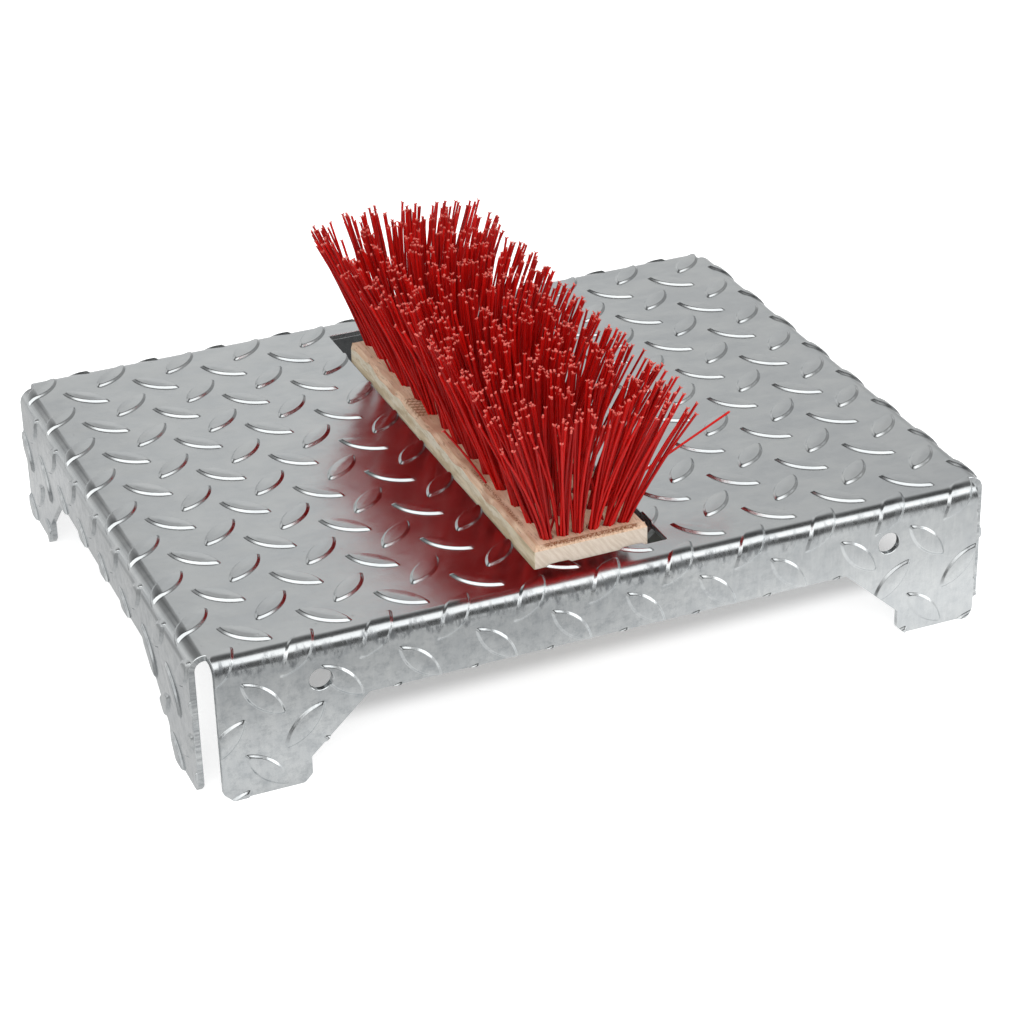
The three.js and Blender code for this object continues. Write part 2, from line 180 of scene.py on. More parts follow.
def tear_rise(flat):
    """How far the rolled tears lift points of the blank."""
    rise = np.zeros(len(flat))
    for start, turn in ((0, -1), (tear_pitch / 2, 1)):
        offset = flat - tear_shift - start
        offset -= tear_pitch * np.round(offset / tear_pitch)
        along = (offset[:, 0] + turn * offset[:, 1]) / math.sqrt(2)
        across = (offset[:, 1] - turn * offset[:, 0]) / math.sqrt(2)
        depth = tear_depth(along, across)
        share = (depth + tear_flank_out) / (tear_flank_out + tear_flank_in)
        dome = tear_dome * np.maximum(depth, 0) * 2 / tear_width
        rise = np.maximum(rise, tear_height * flank(np.clip(share, 0, 1)) + dome)
    return rise


def flank(share):
    """The side of a tear: a small hollow at its foot, a slope, and a round at its crest."""
    foot, crest = tear_foot_share, tear_crest_share
    hollow = np.minimum(share, foot) ** 2 / (2 * foot)
    slope = np.maximum(share - foot, 0)
    round_off = np.maximum(share - 1 + crest, 0) ** 2 / (2 * crest)
    return (hollow + slope - round_off) / (1 - foot / 2 - crest / 2)


def tear_ring(depth):
    """One contour of a tear about its middle, as distances along and across."""
    turns = np.arange(tear_ring_points) * 2 * math.pi / tear_ring_points
    ray = np.stack([tear_length * np.cos(turns), tear_width * np.sin(turns)], axis=1) / 2
    near = np.zeros(tear_ring_points)
    far = np.full(tear_ring_points, tear_search_reach)
    for _ in range(tear_search_steps):
        middle = (near + far) / 2
        inside = tear_depth(ray[:, 0] * middle, ray[:, 1] * middle) > depth
        near = np.where(inside, middle, near)
        far = np.where(inside, far, middle)
    return ray * near[:, None]


def tear_contours():
    """The contours of every tear on the blank."""
    depths = [*np.linspace(-tear_flank_out, tear_flank_in, tear_rings), tear_dome_ring]
    rings = [tear_ring(depth) for depth in depths]
    reach = np.ceil(2 * blank_half / tear_pitch).astype(int) + 1
    contours = []
    for i in range(-reach[0], reach[0] + 1):
        for j in range(-reach[1], reach[1] + 1):
            middle = tear_shift + np.array([i, j]) * tear_pitch / 2
            past = abs(middle) - tear_length / 2
            is_off_corner = past[0] > long_skirt_half and past[1] > short_skirt_half
            if (i + j) % 2 or (past > blank_half).any() or is_off_corner:
                continue
            turn = 1 if i % 2 else -1
            for ring in rings:
                u = ring[:, 0] - turn * ring[:, 1]
                v = turn * ring[:, 0] + ring[:, 1]
                contours.append(middle + np.stack([u, v], axis=1) / math.sqrt(2))
    return contours


def bend_creases():
    """Straight lines across the blank that let the sheet bend smoothly."""
    creases = []
    for axis, half in ((0, short_skirt_half), (1, long_skirt_half)):
        for side in (-1, 1):
            for past in np.linspace(0, bend_arc, bend_lines):
                crease = np.zeros((2, 2))
                crease[:, axis] = side * (bend_start[axis] + past)
                crease[:, 1 - axis] = (-half - sheet, half + sheet)
                creases.append(crease)
    return creases


def is_inside(points, loops):
    """Whether each point lies within the first outline and in none of the holes."""
    inside = np.zeros(len(points), dtype=bool)
    for loop in loops:
        for start, end in zip(loop, np.roll(loop, -1, axis=0)):
            if start[1] == end[1]:
                continue
            spans = (points[:, 1] < start[1]) != (points[:, 1] < end[1])
            reach = start[0] + (points[:, 1] - start[1]) * (end[0] - start[0]) / (end[1] - start[1])
            inside ^= spans & (points[:, 0] < reach)
    return inside


def triangles(points, edges, loops):
    """Triangulates the area of the loops. Gives the points, the faces, and for each of the
    points given where it went."""
    found = delaunay_2d_cdt([Vector(point) for point in points], edges, [], 0, weld_distance, True)
    flat = np.array([tuple(point) for point in found[0]])
    faces = np.array(found[2])
    faces = faces[is_inside(flat[faces].mean(axis=1), loops)]
    went = np.zeros(len(points), dtype=int)
    for place, sources in enumerate(found[3]):
        went[sources] = place
    return flat, faces, went


def joined(loops, lines=()):
    """Points and edges of closed loops and open lines."""
    points = []
    edges = []
    for line, is_closed in [(loop, True) for loop in loops] + [(line, False) for line in lines]:
        first = len(points)
        points.extend(line)
        edges.extend((k, k + 1) for k in range(first, len(points) - 1))
        if is_closed:
            edges.append((len(points) - 1, first))
    return points, edges


def rim(faces):
    """The edges with a face on one side only, each running as its face does."""
    edges = np.concatenate([faces[:, [0, 1]], faces[:, [1, 2]], faces[:, [2, 0]]])
    pairs = np.sort(edges, axis=1)
    _, first, count = np.unique(pairs, axis=0, return_index=True, return_counts=True)
    return edges[first[count == 1]]


def slab(loops, lines, creases, edge_round):
    """A sheet between closed loops, with a round on its edges. Gives for its points the flat
    place, the layer (1 face, -1 back) and the edge round, then the faces."""
    rings = [inset(loop, edge_round) for loop in loops]
    flat, faces, _ = triangles(*joined(loops + rings + lines, creases), loops)
    edges = rim(faces)
    rim_points = np.unique(edges)
    points, more_edges = joined(rings, creases)
    shift = len(rim_points)
    back_edges = [tuple(edge) for edge in np.searchsorted(rim_points, edges)]
    back_edges += [(a + shift, b + shift) for a, b in more_edges]
    back_flat, back_faces, went = triangles(list(flat[rim_points]) + points, back_edges, loops)
    below = len(flat) + went[np.searchsorted(rim_points, edges)]
    walls = np.stack([edges[:, 0], below[:, 0], below[:, 1], edges[:, 1]], axis=1)
    lowered = np.zeros(len(flat) + len(back_flat))
    lowered[rim_points] = edge_round
    lowered[np.unique(below)] = edge_round
    layer = np.repeat([1, -1], [len(flat), len(back_flat)])
    turned = back_faces[:, ::-1] + len(flat)
    used = np.unique(np.concatenate([faces.ravel(), turned.ravel()]))
    faces, turned, walls = (np.searchsorted(used, part) for part in (faces, turned, walls))
    flat = np.concatenate([flat, back_flat])
    return flat[used], layer[used], lowered[used], faces, turned, walls


def mesh_object(name, points, faces, normals=None, smooth=True):
    """A mesh object of a point array and face lists, with a normal for each face corner."""
    mesh = bpy.data.meshes.new(name)
    mesh.from_pydata(points.tolist(), [], [list(face) for face in faces])
    if smooth:
        mesh.shade_smooth()
    else:
        mesh.shade_flat()
    if normals is not None:
        mesh.normals_split_custom_set(normals.tolist())
    piece = bpy.data.objects.new(name, mesh)
    bpy.context.scene.collection.objects.link(piece)
    return piece


shortest_vector = 1e-12


def unit(vectors):
    """The vectors at length 1."""
    return vectors / np.maximum(np.linalg.norm(vectors, axis=-1), shortest_vector)[..., None]


def face_normals(points, faces):
    """Flat normals of faces, whatever their number of corners."""
    first, second, third = (points[faces[:, k]] for k in range(3))
    return unit(np.cross(second - first, third - first))


def set_vectors(piece, name, values):
    """Stores a vector for each point of a mesh, for its material to read."""
    attribute = piece.data.attributes.new(name, "FLOAT_VECTOR", "POINT")
    attribute.data.foreach_set("vector", np.ascontiguousarray(values, dtype=np.float32).ravel())


def make_tread_plate():
    """The whole plate: triangulated flat, lifted by its tears, then folded."""
    hole_place = np.array([bolt_hole_along, blank_half[1] - bolt_hole_height])
    holes = [
        circle(hole_place * (side, end), bolt_hole_radius, bolt_hole_points)
        for side in (-1, 1)
        for end in (-1, 1)
    ]
    low, high = dirt_hole_low, dirt_hole_high
    dirt_hole = rounded([low, (low[0], high[1]), high, (high[0], low[1])], cut_corner_radius)
    loops = [rounded(blank_outline(), cut_corner_radius), dirt_hole] + holes
    contours, creases = tear_contours(), bend_creases()
    flat, layer, lowered, top, back, walls = slab(loops, contours, creases, cut_edge_round)

    def rise_at(places):
        return np.where(layer > 0, tear_rise(places) - lowered, lowered - sheet)

    def placed(shift):
        return folded(flat + shift, rise_at(flat + shift))

    step = 0.01 * mm
    along_u = placed((step, 0)) - placed((-step, 0))
    along_v = placed((0, step)) - placed((0, -step))
    smooth = unit(np.cross(along_u, along_v)) * layer[:, None]
    points = placed((0, 0))
    normals = []
    for faces in (top, back, walls):
        corner = smooth[faces]
        is_cut = (lowered[faces] > 0).any(axis=1)
        corner[is_cut] = face_normals(points, faces)[is_cut][:, None, :]
        normals.append(corner.reshape(-1, 3))
    faces = top.tolist() + back.tolist() + walls.tolist()
    plate = mesh_object("tread_plate_sheet", points, faces, np.concatenate(normals))
    set_vectors(plate, "blank", np.column_stack([flat, rise_at(flat)]) / mm)
    past = abs(flat) - bend_start
    is_long = past[:, 1] > past[:, 0]
    along = np.where(is_long, flat[:, 0], flat[:, 1])
    set_vectors(plate, "fold", np.column_stack([along, past.max(axis=1), is_long * mm]) / mm)
    return plate


class Amount:
    """A number that varies over a surface: a node's socket, with arithmetic."""

    def __init__(self, finish, socket):
        self.finish = finish
        self.socket = socket

    def maths(self, operation, first, second=0.0):
        return self.finish.node("Math", {"operation": operation}, {0: first, 1: second})

    def __add__(self, other):
        return self.maths("ADD", self, other)

    def __radd__(self, other):
        return self.maths("ADD", other, self)

    def __sub__(self, other):
        return self.maths("SUBTRACT", self, other)

    def __rsub__(self, other):
        return self.maths("SUBTRACT", other, self)

    def __mul__(self, other):
        return self.maths("MULTIPLY", self, other)

    def __rmul__(self, other):
        return self.maths("MULTIPLY", other, self)

    def __abs__(self):
        return self.maths("ABSOLUTE", self)

    def sine(self):
        return self.maths("SINE", self)

    def at_least(self, other):
        """The larger of this and another."""
        return self.maths("MAXIMUM", self, other)

    def step(self, low, high):
        """0 below low and 1 above high, with a smooth change between."""
        sockets = {"Value": self, "From Min": low, "From Max": high}
        return self.finish.node("MapRange", {"interpolation_type": "SMOOTHSTEP"}, sockets)


class Finish:
    """The nodes of one finish, in a new material or in what is given to hold them."""

    def __init__(self, name, holder=None):
        self.holder = holder or bpy.data.materials.new(name)
        self.holder.use_nodes = True
        self.tree = self.holder.node_tree
        self.tree.nodes.clear()

    def node(self, kind, settings=None, sockets=None, output=0):
        """Adds a node: its settings first, then its sockets' values or links."""
        made = self.tree.nodes.new("ShaderNode" + kind)
        for name, value in (settings or {}).items():
            setattr(made, name, value)
        for name, value in (sockets or {}).items():
            if isinstance(value, Amount):
                self.tree.links.new(value.socket, made.inputs[name])
            else:
                made.inputs[name].default_value = value
        return Amount(self, made.outputs[output]) if made.outputs else None

    def noise(self, place, scale, detail=2.0, roughness=0.5):
        sockets = {"Vector": place, "Scale": scale, "Detail": detail, "Roughness": roughness}
        return self.node("TexNoise", {}, sockets)

    def stretched(self, place, scale, turn=0.0):
        """Coordinates turned in the plane and scaled along each axis."""
        sockets = {"Vector": place, "Rotation": (0, 0, turn), "Scale": scale}
        return self.node("Mapping", {}, sockets)

    def attribute(self, name):
        """A vector that the mesh holds for each of its points."""
        return self.node("Attribute", {"attribute_name": name}, {}, 1)

    def parts(self, vector):
        """The three parts of a vector."""
        return [self.node("SeparateXYZ", {}, {0: vector}, k) for k in range(3)]

    def mix(self, share, first, second):
        """One colour over another."""
        return self.node("Mix", {"data_type": "RGBA"}, {0: share, 6: first, 7: second}, 2)

    def bump(self, height, distance, strength=1.0):
        return self.node("Bump", {}, {"Height": height, "Distance": distance, "Strength": strength})

    def surface(self, **sockets):
        """The surface shader, with its sockets' names written in words joined by underscores."""
        named = {name.replace("_", " "): value for name, value in sockets.items()}
        shader = self.node("BsdfPrincipled", {}, named)
        self.node("OutputMaterial", {}, {"Surface": shader})
        return self.holder


def paint(red, green, blue):
    """A colour given as 0 to 255, as a screen shows it."""
    share = np.array([red, green, blue]) / 255
    linear = np.where(share > 0.04045, ((share + 0.055) / 1.055) ** 2.4, share / 12.92)
    return (*linear.tolist(), 1.0)


def band(amount, low, high, fade):
    """1 between two values, fading over a distance outside them."""
    return amount.step(low - fade, low) * (1 - amount.step(high, high + fade))


zinc_light = paint(226, 229, 229)
zinc_dark = paint(204, 208, 210)
zinc_stain = paint(176, 181, 184)
zinc_dross = paint(120, 124, 128)
zinc_relief = 0.5 * mm


def galvanised(finish, place, drawn, mottle, cut, rough):
    """Zinc over steel: faint crystals and ripples, with runs where it drained, dross that gathered
    on the bends, the ridges of cut edges under it, and dents and stains where it set rough."""
    crystals = finish.noise(place, 0.11, 3.0, 0.62)
    clouds = finish.noise(finish.stretched(place, (0.03, 0.045, 0.04)), 1.0, 3.0, 0.55)
    pits = finish.noise(place, 0.3).step(0.72, 0.8)
    tone = 0.25 * crystals.step(0.3, 0.7) + 0.4 * clouds.step(0.35, 0.65) + 0.35 * drawn
    colour = finish.mix(tone, zinc_dark, zinc_light)
    stains = finish.noise(place, 0.16, 5.0, 0.75)
    colour = finish.mix(0.65 * rough * stains.step(0.42, 0.7), colour, zinc_stain)
    colour = finish.mix(0.75 * mottle + 0.4 * cut, colour, zinc_dross)
    ripples = finish.noise(place, 0.05)
    grain = finish.noise(finish.stretched(place, (0.6, 0.9, 0.6)), 1.0, 3.0, 0.6)
    dents = finish.noise(finish.stretched(place, (0.13, 0.11, 0.12)), 1.0)
    height = ripples + 0.03 * grain + 0.05 * drawn + 0.16 * mottle
    height = height + rough * (0.1 * grain + 0.06 * drawn + 0.6 * dents)
    bump = finish.bump(height - 0.25 * pits + 0.15 * cut, zinc_relief, 0.35)
    roughness = 0.18 - 0.08 * rough + 0.05 * tone + 0.04 * drawn + 0.25 * mottle + 0.2 * cut
    return finish.surface(Base_Color=colour, Metallic=1.0, Roughness=roughness, Normal=bump)


def galvanised_sheet():
    """The plate's finish, which runs on over the bends."""
    finish = Finish("galvanised sheet")
    blank = finish.attribute("blank")
    fold = finish.attribute("fold")
    along, past, is_long = finish.parts(fold)
    depth = finish.parts(blank)[2]
    runs = finish.noise(finish.stretched(fold, (0.3, 0.045, 0.0)), 1.0, 4.0, 0.65).step(0.35, 0.65)
    level = finish.noise(finish.stretched(blank, (0.012, 0.1, 0.0)), 1.0, 4.0, 0.6).step(0.3, 0.7)
    skirt = past.step(5.0, 12.0)
    drawn = skirt * runs + (1 - skirt) * 0.9 * level
    specks = finish.noise(finish.stretched(fold, (0.4, 0.2, 0.0), 0.6), 1.0, 5.0, 0.7)
    drips = finish.noise(finish.stretched(fold, (0.13, 0.0, 0.0)), 1.0, 2.0, 0.6).step(0.35, 0.7)
    on_right = along.step(10.0, 130.0)
    is_outside = depth.step(-2.0, -0.5)
    mottle = specks.step(0.38, 0.64) * band(past - 4.5 * drips, 4.7, 6.0, 2.6) * is_long
    mottle = mottle * (1 - 0.55 * on_right) * is_outside
    ridges = finish.noise(finish.stretched(blank, (0.5, 0.5, 0.0)), 1.0, 4.0, 0.6).step(0.3, 0.7)
    cut = ridges * band(depth, -2.7, -0.3, 0.05)
    rough = skirt * (1 - 0.6 * on_right * is_long)
    return galvanised(finish, blank, drawn, mottle, cut, rough)


tread_plate = make_tread_plate()
tread_plate.data.materials.append(galvanised_sheet())
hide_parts("tread_plate")
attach(tread_plate, "root")


# Straps and their screws
# Two cranked galvanised flat bars are welded under the sheet and carry the broom head, which is
# held down from below with round-head wood screws on washers.
def by_object(finish):
    """Places in millimetres in the part's own frame."""
    place = finish.node("TexCoord", {}, {}, 3)
    return finish.node("VectorMath", {"operation": "SCALE"}, {0: place, "Scale": 1 / mm})


# The straps' colours are painted dark, as painted shade for their place under the sheet.
bar_shade_dark = paint(92, 94, 92)
bar_shade_light = paint(138, 141, 140)
plating_dark = paint(188, 190, 186)
plating_light = paint(214, 214, 208)


def galvanised_bar_in_painted_shade():
    """The straps' finish, painted dark as shade under the sheet, with mill scale under thin zinc.
    """
    finish = Finish("galvanised bar")
    place = by_object(finish)
    runs = finish.noise(finish.stretched(place, (0.04, 0.4, 0.4)), 1.0, 3.0, 0.6).step(0.35, 0.65)
    scale = finish.noise(place, 0.2, 5.0, 0.7)
    colour = finish.mix(0.5 * runs + 0.5 * scale.step(0.4, 0.6), bar_shade_dark, bar_shade_light)
    bump = finish.bump(scale, 0.4 * mm, 0.4)
    roughness = 0.42 + 0.16 * scale
    return finish.surface(Base_Color=colour, Metallic=1.0, Roughness=roughness, Normal=bump)


bar_finish = galvanised_bar_in_painted_shade()
fastener_finish = Finish("zinc plated fastener")
speckle = fastener_finish.noise(by_object(fastener_finish), 1.3, 3.0, 0.6).step(0.3, 0.7)
fastener_finish.surface(
    Base_Color=fastener_finish.mix(speckle, plating_dark, plating_light),
    Metallic=1.0,
    Roughness=0.24 + 0.14 * speckle,
)
for node_name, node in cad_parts.items():
    if node_name.startswith("brush_strap"):
        node.data.materials[0] = bar_finish
    elif node_name.startswith("strap_"):
        node.data.materials[0] = fastener_finish.holder


# Broom head board
# A sawn beech board with bevelled top edges and a drilled hole for each tuft. Its front end is
# cut across the grain and still shows the saw's marks and scorches.
board_low, board_high = (np.array(corner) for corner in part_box("brush_board"))
board_middle = (board_low + board_high) / 2
board_bevel = 2.2 * mm
board_point_gap = 3 * mm
board_corner_radius = 0.8 * mm
tuft_columns = 6
tuft_rows = 14
tuft_pitch = np.array([7.5, 17.6]) * mm
tuft_hole_radius = 3 * mm
tuft_hole_depth = 9 * mm
tuft_hole_points = 20
tuft_field_half = tuft_pitch * (np.array([tuft_columns, tuft_rows]) - 1) / 2
pilot_hole_radius = 2.1 * mm
pilot_hole_depth = 15 * mm
pilot_hole_points = 16
bevel_lean = 0.8
wane_waves = ((0.9, 7.1, 0), (0.7, 3.3, 1), (0.5, 17, 0))
wane_left_bias = 8
wane_drop = 0.9 * mm
wane_in = 0.5 * mm
wane_start = 20
wane_fade = 30
left_edge = float(board_low[0]) / mm
front_edge = float(board_low[1]) / mm
board_top = float(board_high[2]) / mm
face_dark = paint(212, 178, 146)
face_pale = paint(236, 208, 182)
face_red = paint(186, 138, 112)
face_crack = paint(128, 82, 56)
face_scorch = paint(122, 64, 24)
side_dark = paint(206, 188, 155)
side_pale = paint(234, 220, 192)
side_streak = paint(160, 138, 106)
side_fibre = paint(240, 231, 212)
side_tick = paint(122, 92, 62)
end_pale = paint(238, 224, 208)
end_sawn = paint(214, 196, 176)
end_pore = paint(200, 174, 148)


def tuft_places():
    """Where each tuft stands, with its share of the way out from the board's middle."""
    for row in range(tuft_rows):
        for column in range(tuft_columns):
            offset = np.array([column, row]) * tuft_pitch - tuft_field_half
            yield board_middle[:2] + offset, offset / tuft_field_half


def dense(loop, gap):
    """A closed outline with more points on its long sides."""
    points = []
    for start, end in zip(loop, np.roll(loop, -1, axis=0)):
        steps = max(1, round(np.linalg.norm(end - start) / gap))
        points.extend(start + (end - start) * k / steps for k in range(steps))
    return np.array(points)


class Solid:
    """Points and faces gathered for one mesh, with a material number for each face."""

    def __init__(self):
        self.points = []
        self.faces = []
        self.kinds = []

    def add(self, points, faces, kind=0):
        first = len(self.points)
        self.points.extend(points)
        self.faces.extend([first + k for k in face] for face in faces)
        self.kinds.extend([kind] * len(faces))

    def wall(self, ring, next_ring, kind=0):
        """Quads from one ring to the next. With an anticlockwise ring above they face out."""
        count = len(ring)
        faces = [(k, k + count, (k + 1) % count + count, (k + 1) % count) for k in range(count)]
        self.add([*ring, *next_ring], faces, kind)

    def cap(self, loops, height, faces_up, kind=0):
        """A flat face between closed loops."""
        flat, faces, _ = triangles(*joined(loops), loops)
        faces = faces if faces_up else faces[:, ::-1]
        self.add([(*point, height) for point in flat], faces.tolist(), kind)

    def made(self, name, weld=1e-6):
        """The mesh object, its points welded."""
        points = np.array([tuple(point) for point in self.points])
        places = np.round(points / weld)
        _, first, went = np.unique(places, axis=0, return_index=True, return_inverse=True)
        faces = [went.ravel()[face].tolist() for face in self.faces]
        piece = mesh_object(name, points[first], faces, smooth=False)
        piece.data.polygons.foreach_set("material_index", self.kinds)
        return piece


def at_height(loop, height):
    """A flat loop as points in space."""
    return [(*point, height) for point in loop]


def make_board():
    """The board: a face drilled with the tuft holes, bevels that are waney on the left, sides,
    and an underside with the screws' pilot holes."""
    low, high = board_low, board_high
    corners = [(low[0], low[1]), (high[0], low[1]), (high[0], high[1]), (low[0], high[1])]
    outline = dense(rounded(corners, board_corner_radius), board_point_gap)
    left_share = np.clip((board_middle[0] - outline[:, 0]) / (board_middle[0] - low[0]), 0, 1)
    along = outline[:, 1] / mm
    wane = sum(size * np.sin(along / length + start) for size, length, start in wane_waves)
    wane *= left_share**wane_left_bias
    wane *= np.clip((along - front_edge - wane_start) / wane_fade, 0, 1)
    bevel_drop = board_bevel + wane * wane_drop
    top_loop = inset(outline, board_bevel * bevel_lean)
    top_loop[:, 0] -= wane * wane_in
    holes = [circle(place, tuft_hole_radius, tuft_hole_points) for place, _ in tuft_places()]
    pilots = [
        circle(screw_middle(name)[:2], pilot_hole_radius, pilot_hole_points)
        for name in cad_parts
        if name.startswith("strap_screw")
    ]
    solid = Solid()
    face_kind, side_kind, end_kind = range(3)
    solid.cap([top_loop] + holes, high[2], True, face_kind)
    bevel_ring = [(*point, high[2] - drop) for point, drop in zip(outline, bevel_drop)]
    solid.wall(at_height(top_loop, high[2]), bevel_ring, face_kind)
    foot_ring = at_height(outline, low[2])
    count = len(outline)
    for k in range(count):
        n = (k + 1) % count
        is_end = abs(outline[k][1] - outline[n][1]) < abs(outline[k][0] - outline[n][0])
        quad = [bevel_ring[k], foot_ring[k], foot_ring[n], bevel_ring[n]]
        solid.add(quad, [(0, 1, 2, 3)], end_kind if is_end else side_kind)
    solid.cap([outline] + pilots, low[2], False, side_kind)
    for hole in holes:
        solid.wall(at_height(hole, high[2]), at_height(hole, high[2] - tuft_hole_depth), side_kind)
        solid.cap([hole[::-1]], high[2] - tuft_hole_depth, True, side_kind)
    for pilot in pilots:
        solid.wall(at_height(pilot, low[2] + pilot_hole_depth), at_height(pilot, low[2]), side_kind)
        solid.cap([pilot[::-1]], low[2] + pilot_hole_depth, False, side_kind)
    return solid.made("broom_board")


def screw_middle(name):
    """The middle of a screw's box."""
    low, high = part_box(name)
    return (np.array(low) + np.array(high)) / 2


def streaks(finish, place, scale, turn, low, high):
    """Thin irregular lines that run one way, 0 to 1."""
    return finish.noise(finish.stretched(place, scale, turn), 1.0, 3.0, 0.6).step(low, high)


def beech_face():
    """The top: pinkish long grain with short dark cracks, and the brown marks that the machine's
    feed and the drills left."""
    finish = Finish("beech face")
    place = by_object(finish)
    x, y, _ = finish.parts(place)
    grain = finish.noise(finish.stretched(place, (0.9, 0.04, 0.9)), 1.0, 4.0, 0.65)
    blotches = finish.noise(finish.stretched(place, (0.1, 0.05, 0.1)), 1.0)
    ragged = finish.noise(finish.stretched(place, (1.3, 0.8, 1.3)), 1.0, 4.0, 0.7)
    colour = finish.mix(grain.step(0.3, 0.7), face_dark, face_pale)
    reddish = blotches.step(0.4, 0.62) * band(y, front_edge + 22, 40.0, 25.0)
    colour = finish.mix(reddish * 0.7, colour, face_red)
    cracks = streaks(finish, place, (1.1, 0.16, 1.1), 0.12, 0.58, 0.68)
    colour = finish.mix(cracks * 0.5, colour, face_crack)
    row = y - front_edge + 1.6 * ragged
    front_mark = band(row, 1.9, 2.6, 0.7) * band(x, left_edge + 8, left_edge + 50, 6.0)
    rows = (0.7 * x + 1.9 * y + 7.0 * ragged).sine().step(0.1, 0.7)
    columns = (2.2 * x - 1.6 * y + 6.0 * ragged).sine().step(0.1, 0.7)
    cross_marks = rows.at_least(0.6 * columns) * band(y + 4 * ragged, 12.0, 30.0, 3.0)
    cross_marks = cross_marks * band(x, left_edge + 1.5, left_edge + 9, 1.0)
    edge_row = x - left_edge + 3.4 * ragged
    edge_mark = band(edge_row, 5.0, 5.8, 0.9) * band(y, front_edge + 26, front_edge + 80, 8.0)
    patchy = 0.4 + 0.6 * ragged.step(0.35, 0.6)
    scorch = front_mark * patchy + 0.8 * edge_mark * ragged.step(0.42, 0.58) + 0.75 * cross_marks
    colour = finish.mix(scorch, colour, face_scorch)
    bump = finish.bump(grain - 0.5 * cracks - 0.2 * scorch, 0.25 * mm, 0.5)
    return finish.surface(Base_Color=colour, Roughness=0.62 + 0.1 * grain, Normal=bump)


def beech_side():
    """The long sides and underside: cream, with soft wavy streaks, pale torn fibres along the
    upper edge and a few dark ticks."""
    finish = Finish("beech side")
    place = by_object(finish)
    _, y, z = finish.parts(place)
    wavy = finish.noise(finish.stretched(place, (0.2, 0.06, 0.26)), 1.0, 3.0, 0.55)
    fine = streaks(finish, place, (1.4, 0.05, 1.4), 0.0, 0.5, 0.75)
    colour = finish.mix(wavy.step(0.38, 0.62), side_dark, side_pale)
    colour = finish.mix(fine * 0.35, colour, side_streak)
    torn = finish.noise(finish.stretched(place, (0.3, 0.11, 0.5)), 1.0, 4.0, 0.7)
    fibres = (z + 14 * torn).step(board_top - 0.5, board_top + 2.5) * torn.step(0.35, 0.55)
    fibres = fibres * y.step(front_edge + 15, front_edge + 50)
    colour = finish.mix(fibres * 0.85, colour, side_fibre)
    ticks = finish.noise(finish.stretched(place, (0.8, 0.28, 1.6)), 1.0, 1.0, 0.5).step(0.72, 0.77)
    colour = finish.mix(ticks * 0.6, colour, side_tick)
    bump = finish.bump(wavy + 0.4 * fine + 0.5 * torn, 0.4 * mm, 0.6)
    return finish.surface(Base_Color=colour, Roughness=0.6 + 0.12 * fine, Normal=bump)


def beech_end():
    """The sawn ends: pale end grain under slanting saw marks."""
    finish = Finish("beech end")
    place = by_object(finish)
    x, _, z = finish.parts(place)
    slant = {0: 0.62 * x + 0.5 * z, 1: 0.08 * z - 0.06 * x, 2: 0.0}
    marks = finish.noise(finish.node("CombineXYZ", {}, slant), 1.0, 2.0, 0.5).step(0.35, 0.65)
    pores = finish.noise(finish.stretched(place, (2.2, 1.0, 2.2)), 1.0, 3.0, 0.7)
    colour = finish.mix(marks * 0.6, end_pale, end_sawn)
    colour = finish.mix(pores.step(0.5, 0.75) * 0.3, colour, end_pore)
    bump = finish.bump(0.6 * marks + pores, 0.25 * mm, 0.5)
    return finish.surface(Base_Color=colour, Roughness=0.72 + 0.1 * pores, Normal=bump)


board = make_board()
for finish in (beech_face(), beech_side(), beech_end()):
    board.data.materials.append(finish)
board.visible_glossy = False
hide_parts("brush_board")
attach(board, "root")


# Bristles
# Stiff red polypropylene filaments, about thirteen to a tuft, stapled into the board's holes.
# They fan out, and their cut ends are split, flared and bruised pale.
bristle_length = 71 * mm
bristle_radius = 0.62 * mm
bristles_per_tuft = 13
bristle_root = 3 * mm
bristle_sides = 6
bristle_steps = 6
fan = np.array([23, 17]) * mm
fan_shift = np.array([1.5, 0]) * mm
fan_end_share = 0.6
tip_spread = 0.26
stray_share = 0.16
end_looseness = 1.35
tuft_sway = 1.8 * mm
shortest_share = 0.9
length_bias = 0.7
bow_spread = 0.8 * mm
droop = 0.04
golden_angle = math.pi * (3 - math.sqrt(5))
last_ring_share = 0.97
split_length = 1.15 * mm
split_width = 0.5 * mm
split_root = 0.2 * mm
split_end = 0.1 * mm
split_sunk = 0.2 * mm
split_opening = (0.6, 1.7)
split_length_shares = (0.6, 1.1)
split_width_shares = (0.8, 1.2)
split_apart = 0.35
split_taper = 0.8
facet_angle = math.radians(62)
box_sides = [(0, 1, 5, 4), (1, 2, 6, 5), (2, 3, 7, 6), (3, 0, 4, 7)]
box_faces = box_sides + [(4, 5, 6, 7), (3, 2, 1, 0)]
bristle_deep = paint(162, 6, 5)
bristle_bright = paint(214, 20, 14)
bristle_bruised = paint(222, 108, 98)
random.seed(7)


def around(direction):
    """Two unit vectors square to a direction."""
    side = Vector(direction).orthogonal().normalized()
    return np.array(side), np.array(Vector(direction).normalized().cross(side))


